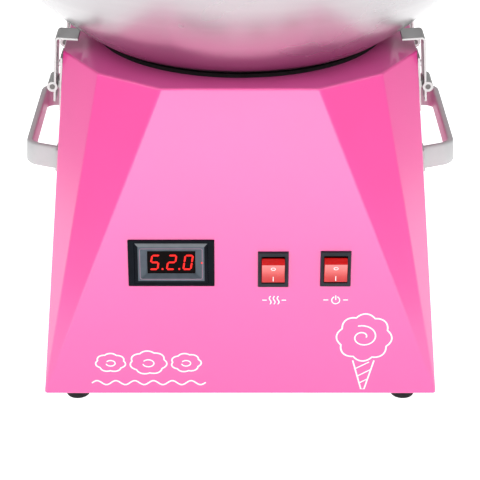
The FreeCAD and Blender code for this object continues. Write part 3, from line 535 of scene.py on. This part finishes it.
def strap(name, m):
    g = 131.0 / 2
    mid = [(-g - 6.5 + GT / 2, -1.0), (-g + GT / 2 - 0.1, -29.0 + GT / 2), (g - GT / 2 + 0.1, -29.0 + GT / 2), (g + 6.5 - GT / 2, -1.0)]
    path = round_path(mid, [0, 11.2, 11.2, 0], 14)
    # resample the straight grip so that the crown below is smooth
    fine = []
    for a, b in zip(path, path[1:]):
        k = max(1, int((b - a).length / 6))
        fine += [a + (b - a) * (i / k) for i in range(k)]
    fine.append(path[-1])
    sec = []
    hw, hh, r = GT / 2, GH / 2, 1.9
    for cx, cz, a0 in ((hw - r, hh - r, 0), (-hw + r, hh - r, 90), (-hw + r, -hh + r, 180), (hw - r, -hh + r, 270)):
        for k in range(5):
            a = math.radians(a0 + 22.5 * k)
            sec.append((cx + r * math.cos(a), cz + r * math.sin(a)))
    bm = bmesh.new()
    rings = []
    for i, p in enumerate(fine):
        d = (fine[min(i + 1, len(fine) - 1)] - fine[max(i - 1, 0)]).normalized()
        nrm = Vector((d.y, -d.x))
        rings.append([bm.verts.new(m @ Vector((p.x + nrm.x * s, p.y + nrm.y * s, HZ + z))) for s, z in sec])
    for A, B in zip(rings, rings[1:]):
        for i in range(len(sec)):
            j = (i + 1) % len(sec)
            bm.faces.new((A[i], A[j], B[j], B[i]))
    bm.faces.new(rings[0])
    bm.faces.new(rings[-1][::-1])
    bmesh.ops.recalc_face_normals(bm, faces=bm.faces)
    # feet against the wall
    for s in (-1, 1):
        fb = bmesh.new()
        bm_box(fb, (s * 69.0 - 8, -3, HZ - GH / 2), (s * 69.0 + 8, 0, HZ + GH / 2), m)
        bmesh.ops.recalc_face_normals(fb, faces=fb.faces)
        bmesh.ops.bevel(fb, geom=fb.edges[:], offset=0.9 * MM, segments=3, affect="EDGES", profile=0.5)
        tmp = bpy.data.meshes.new("tmp")
        fb.to_mesh(tmp)
        fb.free()
        bm.from_mesh(tmp)
        bpy.data.meshes.remove(tmp)
    o = make(name + "_strap", bm, "alu", "chassis")
    smooth(o, 40)
    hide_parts(name)


strap("handle_left", LEFT)
strap("handle_right", RIGHT)

# --------------------------------------------------- rounded small CAD pieces
for n, w in (("clip_front_left", 0.35), ("clip_back_left", 0.35), ("clip_front_right", 0.35), ("clip_back_right", 0.35), ("clip_bases", 0.25),
             ("meter_bezel", 0.45), ("meter_inner_frame", 0.35), ("heat_switch_body", 0.45), ("power_switch_body", 0.45),
             ("heat_rocker", 0.5), ("power_rocker", 0.5), ("hub_collar", 0.4), ("mains_inlet", 0.5), ("head_cap", 0.4), ("head_nut", 0.4)):
    soften(n, w)

# painted shade and highlight: the meter frame's flanks are one moulding, but all but the upper one take the black
# material as painted shade, and the upper one a lighter grey as a painted highlight
fr = bpy.data.objects["meter_inner_frame_detail"]
fr.data.materials.append(M["bezel"])
fr.data.materials.append(M["inner_light"])
to_face = (FRONT @ Matrix.Translation((MX, 0, MZ))).inverted()
for f in fr.data.polygons:
    c = to_face @ f.center
    if (abs(c.x) > 26.45 or c.z < -14.8 or (c.z > 14.8 and c.y > -1.45)) and c.y < 0.5:
        f.material_index = 1
    elif c.z > 14.85 and c.y < -1.45:
        f.material_index = 2

# the rockers' faces carry the painted highlight; their ends are plain deep red
for k, (sx, sz) in SW.items():
    rk = bpy.data.objects[k + "_rocker_detail"]
    rk.data.materials.append(M["rocker_face"])
    inv = (FRONT @ Matrix.Translation((sx, 0, sz))).inverted()
    rot = inv.to_3x3()
    for f in rk.data.polygons:
        c = inv @ f.center
        nrm = (rot @ f.normal).normalized()
        if nrm.y < -0.8 and c.y < -2.4:
            f.material_index = 1

# ------------------------------------------------------------------ rubber feet
bm = bmesh.new()
for sx in (-1, 1):
    for sy in (-1, 1):
        prof = [(5.2, 6), (5.2, 0.9), (5.6, 0.25), (6.4, 0.0), (8.6, 0.0), (9.5, 0.3), (9.95, 1.1), (10.2, 3), (10.9, 11), (11.3, 13.2), (11.45, 14.4), (11.2, 15), (2.4, 15), (2.4, 6)]
        lathe(bm, prof, 48, Matrix.Translation((0.1368 * sx, 0.1368 * sy, 0)) @ WORLD)
bmesh.ops.recalc_face_normals(bm, faces=bm.faces)
ft = make("rubber_feet", bm, "rubber", "chassis")
smooth(ft, 50)
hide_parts("feet")

# ------------------------------------------------------------ printed line art


def ribbon(bm, pts, width, m, off=0.06, closed=False, z=0.0):
    """A flat printed line of the given width along points (x, z) of a wall."""
    P = [Vector(p) for p in pts]
    n = len(P)
    L, R = [], []
    for i in range(n):
        a = P[(i - 1) % n] if (closed or i > 0) else P[i]
        b = P[(i + 1) % n] if (closed or i < n - 1) else P[i]
        d = (b - a).normalized()
        q = Vector((-d.y, d.x)) * (width / 2)
        L.append(bm.verts.new(m @ Vector((P[i].x + q.x, -off, P[i].y + q.y))))
        R.append(bm.verts.new(m @ Vector((P[i].x - q.x, -off, P[i].y - q.y))))
    for i in range(n if closed else n - 1):
        j = (i + 1) % n
        bm.faces.new((L[i], L[j], R[j], R[i]))
    if not closed:
        for c, sgn in ((P[0], 1), (P[-1], 1)):
            disc(bm, c, width / 2, m, off + 0.004)


def disc(bm, c, r, m, off=0.06, n=20):
    vs = [bm.verts.new(m @ Vector((c[0] + r * math.cos(2 * math.pi * i / n), -off, c[1] + r * math.sin(2 * math.pi * i / n)))) for i in range(n)]
    bm.faces.new(vs)


def arc(cx, cz, r, a0, a1, n=16, rz=None):
    rz = r if rz is None else rz
    return [(cx + r * math.cos(math.radians(a0 + (a1 - a0) * i / n)), cz + rz * math.sin(math.radians(a0 + (a1 - a0) * i / n))) for i in range(n + 1)]


bm = bmesh.new()
# sign for heat: three wavy lines between two short bars
hx, hz = 27.4, 85.8
for k in (-1, 0, 1):
    ribbon(bm, [(hx + 3.2 * k + 0.75 * math.sin(i / 14 * 2 * math.pi), hz - 3.3 + 6.6 * i / 14) for i in range(15)], 0.95, FRONT)
for s in (-1, 1):
    ribbon(bm, [(hx + s * 9.2, hz), (hx + s * 6.4, hz)], 0.95, FRONT)
# sign for power: broken ring and bar
px, pz = 77.0, 86.0
ribbon(bm, arc(px, pz - 0.2, 3.2, 120, 420, 26), 0.95, FRONT)
ribbon(bm, [(px, pz + 0.4), (px, pz + 3.7)], 0.95, FRONT)
for s in (-1, 1):
    ribbon(bm, [(px + s * 9.6, pz), (px + s * 6.4, pz)], 0.95, FRONT)


def puff(cx, cz, w, h, lobes, width=1.2, start=0.0):
    """Outline of a puff of floss: lobes bulges round an oval."""
    pts = []
    n = 14
    for k in range(lobes):
        for i in range(n):
            t = (k + i / n) / lobes * 2 * math.pi + start
            bulge = 1.0 + 0.13 * abs(math.sin((k + i / n) * math.pi))
            pts.append((cx + w / 2 * bulge * math.cos(t), cz + h / 2 * bulge * math.sin(t)))
    ribbon(bm, pts, width, FRONT, closed=True)


# right: a generic stick of floss, cloud on a paper cone
cx, cz = 101.0, 52.0
puff(cx, cz, 40, 38, 8, 1.35, 0.35)
sp = []
for i in range(46):
    t = i / 45 * 2.6 * math.pi
    r = 2.5 + 8.6 * i / 45
    sp.append((cx - 1 + r * 1.12 * math.cos(t), cz + 0.5 + r * 0.95 * math.sin(t)))
ribbon(bm, sp, 1.2, FRONT)
ribbon(bm, [(cx - 8.6, cz - 21.4), (cx - 1.3, cz - 47.5), (cx + 1.3, cz - 47.5), (cx + 8.6, cz - 21.4)], 1.3, FRONT)
ribbon(bm, [(cx - 6.6, cz - 28.6), (cx + 4.4, cz - 22.6)], 1.0, FRONT)
ribbon(bm, [(cx - 4.6, cz - 35.4), (cx + 5.8, cz - 29.6)], 1.0, FRONT)
ribbon(bm, [(cx - 2.8, cz - 41.8), (cx + 3.9, cz - 38.0)], 1.0, FRONT)
# left: a row of three small puffs with a plain wavy line under them
for k, (w, h) in enumerate(((22, 15), (27, 19), (22, 15))):
    puff(-75.4 + (k - 1) * 31.0, 29.0, w, h, 7, 1.3, 0.2 + k)
    ribbon(bm, arc(-75.4 + (k - 1) * 31.0, 28.4, w * 0.17, 200, 500, 22, h * 0.17), 1.1, FRONT)
ribbon(bm, [(-122 + 93.2 * i / 60, 10.4 + 1.9 * math.sin(i / 60 * 12 * math.pi)) for i in range(61)], 1.35, FRONT)
bmesh.ops.recalc_face_normals(bm, faces=bm.faces)
art = make("printed_line_art", bm, "ink", "chassis")

# marks on the rockers: a ring on the upper half and a bar on the lower half
RA, PIV = math.radians(11.0), 5.0
for k, (sx, sz) in SW.items():
    SF = FRONT @ Matrix.Translation((sx, 0, sz))
    lean = Matrix.Translation((0, PIV, 0)) @ Matrix.Rotation(RA, 4, "X") @ Matrix.Translation((0, -PIV, 0))
    a = math.atan2(0.6, 8.3)
    up = SF @ lean @ Matrix.Translation((0, -4.7, 0)) @ Matrix.Rotation(a, 4, "X")
    dn = SF @ lean @ Matrix.Translation((0, -4.7, 0)) @ Matrix.Rotation(-a, 4, "X")
    bm = bmesh.new()
    ribbon(bm, arc(0, 4.6, 1.7, 0, 360, 24, 1.25), 0.6, up, off=0.03, closed=False)
    ribbon(bm, [(0, -7.0), (0, -3.2)], 0.7, dn, off=0.03)
    bmesh.ops.recalc_face_normals(bm, faces=bm.faces)
    mk = make(k + "_rocker_marks", bm, "ink", k + "_rocker_body")

# small unit mark on the meter frame, beside the window: a lit dot
bm = bmesh.new()
MF = FRONT @ Matrix.Translation((MX, 0, MZ))
disc(bm, (24.6, 1.0), 0.8, MF, off=2.33)
ud = make("unit_lamp", bm, "digits", "chassis")
bm = bmesh.new()
x1, z1, q = 24.9, 13.3, 1.6
line = arc(x1 - q, z1 - q, q, 0, 90, 6) + arc(-x1 + q, z1 - q, q, 90, 180, 6) + arc(-x1 + q, -z1 + q, q, 180, 270, 6) + arc(x1 - q, -z1 + q, q, 270, 360, 6)
ribbon(bm, line, 0.42, MF, off=2.34, closed=True)
rl = make("meter_frame_outline", bm, "ink_rose", "chassis")

# -------------------------------------------------------- floor, light, camera
def floor_mat():
    """White light table: bright round the machine, fading to pale grey further out."""
    m, nt, b = new_mat("studio_floor")
    v = tex_coord(nt)
    n = noise(nt, v, 3.0, 2)
    nt.links.new(ramp(nt, n, [(0.2, (0.62, 0.62, 0.625)), (0.8, (0.65, 0.65, 0.65))]), b.inputs["Base Color"])
    b.inputs["Roughness"].default_value = 0.9
    b.inputs["Specular IOR Level"].default_value = 0.1
    tc = nt.nodes.new("ShaderNodeTexCoord")
    total = None
    for place, radii, full, edge in GLOW:
        g = nt.nodes.new("ShaderNodeTexGradient")
        g.gradient_type = "SPHERICAL"
        mp = nt.nodes.new("ShaderNodeMapping")
        mp.vector_type = "TEXTURE"
        mp.inputs["Location"].default_value = place
        mp.inputs["Scale"].default_value = radii
        nt.links.new(tc.outputs["Object"], mp.inputs["Vector"])
        nt.links.new(mp.outputs["Vector"], g.inputs["Vector"])
        r = nt.nodes.new("ShaderNodeMapRange")
        r.interpolation_type = "SMOOTHSTEP"
        r.inputs["From Max"].default_value = edge
        r.inputs["To Min"].default_value = 0.05
        r.inputs["To Max"].default_value = full
        nt.links.new(g.outputs["Fac"], r.inputs["Value"])
        if total is None:
            total = r.outputs["Result"]
        else:
            s = nt.nodes.new("ShaderNodeMath")
            nt.links.new(total, s.inputs[0])
            nt.links.new(r.outputs["Result"], s.inputs[1])
            total = s.outputs[0]
    nt.links.new(total, b.inputs["Emission Strength"])
    b.inputs["Emission Color"].default_value = (1, 1, 1, 1)
    return m


GLOW = (((0.0, 0.15, 0.0), (1.45, 2.0, 2.0), 0.98, 0.5), ((0.0, -1.35, 0.0), (1.8, 1.25, 1.25), 1.95, 1.0))
bm = bmesh.new()
s = 7.0
vs = [bm.verts.new(p) for p in ((-s, -s, 0), (s, -s, 0), (s, s, 0), (-s, s, 0))]
bm.faces.new(vs)
me = bpy.data.meshes.new("floor")
bm.to_mesh(me)
bm.free()
floor = bpy.data.objects.new("studio_floor", me)
scene.collection.objects.link(floor)
me.materials.append(floor_mat())

world = bpy.data.worlds.new("studio")
scene.world = world
world.use_nodes = True
wn = world.node_tree
bg = wn.nodes["Background"]
tcw = wn.nodes.new("ShaderNodeTexCoord")
sepw = wn.nodes.new("ShaderNodeSeparateXYZ")
wn.links.new(tcw.outputs["Generated"], sepw.inputs["Vector"])
rw = wn.nodes.new("ShaderNodeValToRGB")
e = rw.color_ramp.elements
e[0].position, e[0].color = 0.0, (0.55, 0.55, 0.555, 1)
e[1].position, e[1].color = 0.8, (1.0, 1.0, 1.0, 1)
wn.links.new(sepw.outputs["Z"], rw.inputs["Fac"])
wn.links.new(rw.outputs["Color"], bg.inputs["Color"])
bg.inputs["Strength"].default_value = 0.6


def area(name, loc, target, size, power, shape="RECTANGLE", size_y=None, color=(1, 1, 1)):
    d = bpy.data.lights.new(name, "AREA")
    d.shape = shape
    d.size = size
    d.size_y = size_y or size
    d.energy = power
    d.color = color
    o = bpy.data.objects.new(name, d)
    scene.collection.objects.link(o)
    o.location = loc
    o.rotation_euler = (Vector(target) - Vector(loc)).to_track_quat("-Z", "Y").to_euler()
    return o


area("key_front", (0.0, -2.4, 1.9), (0, 0, 0.2), 2.2, 16, size_y=1.0)
area("key_left", (-2.3, -1.3, 1.7), (0, 0, 0.2), 1.2, 9)
area("key_right", (2.3, -1.3, 1.7), (0, 0, 0.2), 1.2, 9)
area("top", (0.0, 0.3, 2.8), (0, 0, 0.2), 2.6, 16)

cam_data = bpy.data.cameras.new("camera")
cam = bpy.data.objects.new("camera", cam_data)
scene.collection.objects.link(cam)
cam_data.sensor_width = 36.0
cam_data.lens = 117.345
cam_data.shift_x = -0.0004
cam.location = (0.0, -1.2538, 0.7243)
cam.rotation_euler = (math.radians(90 - 27.4), 0, 0)
cam_data.clip_start = 0.05
cam_data.clip_end = 50
scene.camera = cam
